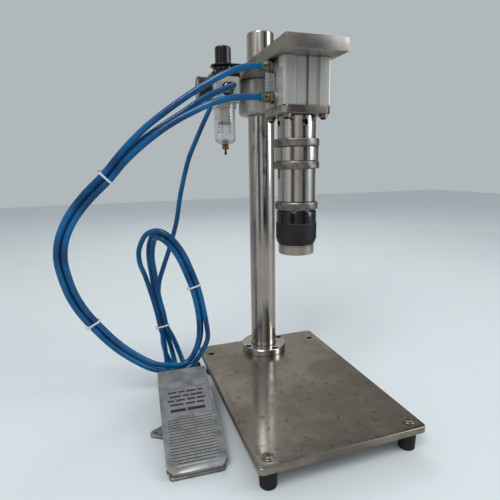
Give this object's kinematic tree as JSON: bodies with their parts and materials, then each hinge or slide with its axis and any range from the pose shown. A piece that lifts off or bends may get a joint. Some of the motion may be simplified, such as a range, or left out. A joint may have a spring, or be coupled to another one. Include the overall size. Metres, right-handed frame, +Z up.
{
  "type": "pneumatic capping machine",
  "caption": "Pneumatic bench capping machine: column on a base plate, adjustable arm with air cylinder and crimping head, filter regulator, hoses and a foot pedal valve.",
  "frame": {"origin": "bottom centre of the machine's box, measured without its hoses and plug; the feet and the pedal stand at z = 0", "axes": "+Z up along the column, -Y towards the operator, +X to the operator's right"},
  "size_m": [0.4247, 0.3547, 0.55],
  "materials": {
    "brushed_steel": "satin, fine grind marks, brown-grey stains",
    "polished_steel": "polished",
    "knurled_steel": "fine knurl",
    "black_steel": "black oxide, part gloss, part matt knurl",
    "anodised_aluminium": "satin anodised",
    "cast_aluminium": "worn sand casting",
    "nickel_brass": "nickel plated, worn",
    "rubber": "matt",
    "black_plastic": "satin moulded",
    "grey_plastic": "satin moulded",
    "clear_plastic": "clear polycarbonate",
    "filter_media": "sintered, rough",
    "blue_hose": "translucent polyurethane tube",
    "spring_steel": "drawn wire"
  },
  "bodies": {
    "stand": {"base_plate": "brushed_steel", "foot_front_left": "rubber", "foot_front_right": "rubber", "foot_back_left": "rubber", "foot_back_right": "rubber", "foot_screw_front_left": "brushed_steel", "foot_screw_front_right": "brushed_steel", "foot_screw_back_left": "brushed_steel", "foot_screw_back_right": "brushed_steel", "column": "polished_steel", "column_flange": "brushed_steel", "hose_cylinder_upper": "blue_hose", "hose_cylinder_lower": "blue_hose", "hose_pedal_supply": "blue_hose", "hose_air_inlet": "blue_hose", "air_plug": "nickel_brass", "pedal_base": "cast_aluminium", "pedal_hinge_pin": "polished_steel", "pedal_valve": "anodised_aluminium", "pedal_spring": "spring_steel", "fitting_pedal_left": "nickel_brass", "fitting_pedal_middle": "nickel_brass", "fitting_pedal_right": "nickel_brass"},
    "arm": {"arm_plate": "brushed_steel", "clamp_collar": "anodised_aluminium", "cylinder_body": "anodised_aluminium", "rod_guide": "anodised_aluminium", "head_flange": "brushed_steel", "clamp_bolt_1": "black_steel", "clamp_bolt_2": "black_steel", "clamp_bolt_3": "black_steel", "clamp_bolt_4": "black_steel", "fitting_cylinder_upper": "nickel_brass", "fitting_cylinder_lower": "nickel_brass", "upper_barrel": "polished_steel", "lower_barrel": "polished_steel", "regulator_bracket": "black_steel", "regulator_body": "grey_plastic", "regulator_bonnet": "black_plastic", "filter_bowl": "clear_plastic", "filter_element": "filter_media", "gauge_case": "black_plastic", "fitting_outlet": "nickel_brass", "fitting_inlet": "nickel_brass"},
    "ram": {"piston": "anodised_aluminium", "piston_rod": "polished_steel", "ram_tube": "polished_steel", "press_sleeve": "black_steel", "nozzle": "polished_steel", "collet_spring": "spring_steel"},
    "collet": {"collet": "spring_steel"},
    "upper_lock_ring": {"upper_lock_ring": "knurled_steel"},
    "stroke_adjuster": {"stroke_adjuster": "polished_steel"},
    "lower_lock_ring": {"lower_lock_ring": "knurled_steel"},
    "head_lock_ring": {"head_lock_ring": "knurled_steel"},
    "regulator_knob": {"regulator_knob": "black_plastic"},
    "gauge_needle": {"gauge_needle": "black_steel"},
    "drain_pin": {"drain_pin": "nickel_brass"},
    "treadle": {"pedal_treadle": "cast_aluminium"},
    "valve_plunger": {"valve_plunger": "black_plastic"}
  },
  "joints": [
    {"name": "arm_height", "type": "slide", "parent": "stand", "child": "arm", "axis": [0, 0, 1], "range_m": [-0.09, 0.045], "deforming": ["hose_cylinder_upper", "hose_cylinder_lower", "hose_pedal_supply", "hose_air_inlet"]},
    {"name": "crimp_stroke", "type": "slide", "parent": "arm", "child": "ram", "axis": [0, 0, -1], "range_m": [0, 0.015]},
    {"name": "collet_float", "type": "slide", "parent": "ram", "child": "collet", "axis": [0, 0, 1], "range_m": [0, 0.004], "stiffness_N_per_m": 1500, "springref_m": -0.003, "deforming": ["collet_spring"]},
    {"name": "upper_lock_turn", "type": "hinge", "parent": "arm", "child": "upper_lock_ring", "pos_m": [0.05091, -0.013, 0.3805], "axis": [0, 0, 1], "range_deg": [-360, 360]},
    {"name": "stroke_adjust_turn", "type": "hinge", "parent": "arm", "child": "stroke_adjuster", "pos_m": [0.05091, -0.013, 0.3663], "axis": [0, 0, 1], "range_deg": [-360, 360]},
    {"name": "lower_lock_turn", "type": "hinge", "parent": "arm", "child": "lower_lock_ring", "pos_m": [0.05091, -0.013, 0.3523], "axis": [0, 0, 1], "range_deg": [-360, 360]},
    {"name": "head_lock_turn", "type": "hinge", "parent": "arm", "child": "head_lock_ring", "pos_m": [0.05091, -0.013, 0.2995], "axis": [0, 0, 1], "range_deg": [-360, 360]},
    {"name": "pressure_adjust", "type": "hinge", "parent": "arm", "child": "regulator_knob", "pos_m": [-0.01209, 0.109, 0.512], "axis": [0, 0, 1], "range_deg": [0, 720]},
    {"name": "gauge_reading", "type": "hinge", "parent": "arm", "child": "gauge_needle", "pos_m": [-0.04919, 0.109, 0.464], "axis": [1, 0, 0], "range_deg": [0, 270]},
    {"name": "drain_push", "type": "slide", "parent": "arm", "child": "drain_pin", "axis": [0, 0, 1], "range_m": [0, 0.002], "stiffness_N_per_m": 300, "springref_m": -0.002},
    {"name": "pedal_press", "type": "hinge", "parent": "stand", "child": "treadle", "pos_m": [-0.1138, -0.09202, 0.0085], "axis": [-0.9984, 0.056, 0], "range_deg": [0, 3.5], "stiffness_Nm_per_rad": 8, "springref_deg": -5.73, "deforming": ["pedal_spring"]},
    {"name": "valve_travel", "type": "slide", "parent": "stand", "child": "valve_plunger", "axis": [0, 0, -1], "range_m": [0, 0.0085], "deforming": ["pedal_spring"]}
  ],
  "couplings": [
    {"joint": "gauge_reading", "follows": "pressure_adjust", "ratio": 0.375},
    {"joint": "valve_travel", "follows": "pedal_press", "m_per_rad": 0.13}
  ]
}
